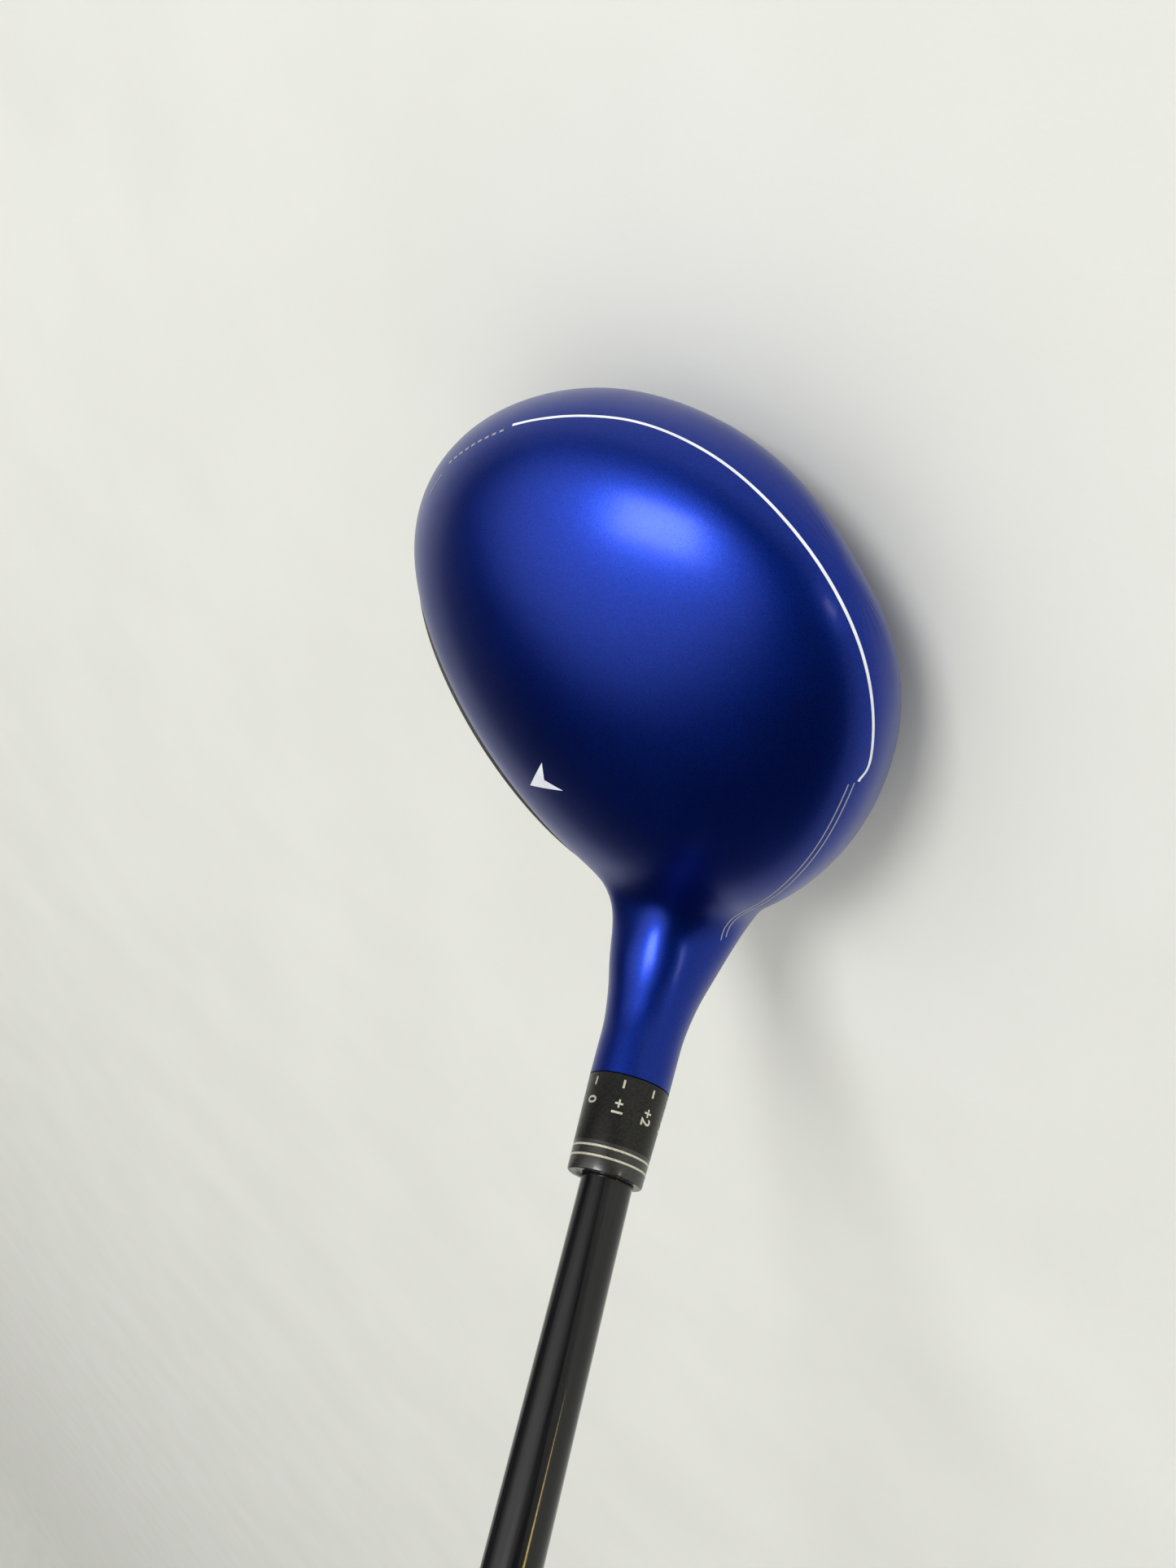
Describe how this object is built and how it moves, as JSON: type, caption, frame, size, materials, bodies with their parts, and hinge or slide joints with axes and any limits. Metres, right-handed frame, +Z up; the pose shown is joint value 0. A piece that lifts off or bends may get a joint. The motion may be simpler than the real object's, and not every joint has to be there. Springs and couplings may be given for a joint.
{
  "type": "golf driver",
  "caption": "Golf driver: hollow rounded head with a weighted sole, adjustable loft sleeve fixed by a sole screw, slim tapered shaft and rubber grip.",
  "frame": {"origin": "centre of the small flat pad under the sole, on the ground", "axes": "+Z up, along the lie of the ground normal; -Y towards the target, the way the face looks; -X towards the toe, +X towards the heel and grip"},
  "size_m": [0.6767, 0.0811, 0.9285],
  "materials": {
    "blue_paint": "satin metallic blue paint on titanium",
    "face_metal": "brushed bare metal",
    "tube_metal": "plain machined metal",
    "weight_metal": "machined steel",
    "screw_metal": "dark machined steel",
    "black_anodised": "black anodised, satin",
    "black_plastic": "polished",
    "champagne_metal": "satin champagne",
    "shaft_black": "gloss lacquer over carbon fibre",
    "grip_rubber": "matt moulded rubber",
    "tape_white": "double-sided paper tape"
  },
  "bodies": {
    "club": {"shaft": "shaft_black", "tip_plug": "weight_metal", "loft_sleeve": "black_anodised", "ferrule": "black_plastic", "grip": "grip_rubber", "grip_tape": "tape_white", "grip_cap": "grip_rubber"},
    "trim_rings": {"trim_ring_lower": "champagne_metal", "trim_ring_upper": "champagne_metal"},
    "head": {"crown_shell": "blue_paint", "body_shell": "blue_paint", "face_plate": "face_metal", "hosel_tube": "tube_metal", "weight_boss": "tube_metal", "sole_rib_toe": "tube_metal", "sole_rib_mid": "tube_metal", "sole_rib_heel": "tube_metal"},
    "sleeve_washer": {"screw_washer": "tube_metal"},
    "sleeve_bolt": {"sleeve_screw": "screw_metal"},
    "weight": {"sole_weight": "weight_metal"},
    "weight_bolt": {"weight_screw": "screw_metal"}
  },
  "joints": [
    {"name": "loft_turn", "type": "hinge", "parent": "club", "child": "trim_rings", "pos_m": [0.05847, -0.0245, 0.05597], "axis": [0.5299, 0, 0.848], "continuous": true},
    {"name": "head_pull", "type": "slide", "parent": "trim_rings", "child": "head", "axis": [-0.5299, 0, -0.848], "range_m": [0, 0.04]},
    {"name": "sleeve_screw_travel", "type": "slide", "parent": "head", "child": "sleeve_washer", "axis": [-0.5299, 0, -0.848], "range_m": [0, 0.008]},
    {"name": "sleeve_screw_turn", "type": "hinge", "parent": "sleeve_washer", "child": "sleeve_bolt", "pos_m": [0.03701, -0.0245, 0.02162], "axis": [-0.5299, 0, -0.848], "range_deg": [0, 3600]},
    {"name": "weight_travel", "type": "slide", "parent": "head", "child": "weight", "axis": [0, 0.1668, -0.986], "range_m": [0, 0.007]},
    {"name": "weight_screw_turn", "type": "hinge", "parent": "weight", "child": "weight_bolt", "pos_m": [-0.0015, 0.01664, 0.00392], "axis": [0, 0.1668, -0.986], "range_deg": [0, 3600]}
  ],
  "couplings": [
    {"joint": "sleeve_screw_turn", "follows": "sleeve_screw_travel", "rad_per_m": 7854},
    {"joint": "weight_screw_turn", "follows": "weight_travel", "rad_per_m": 8976}
  ]
}
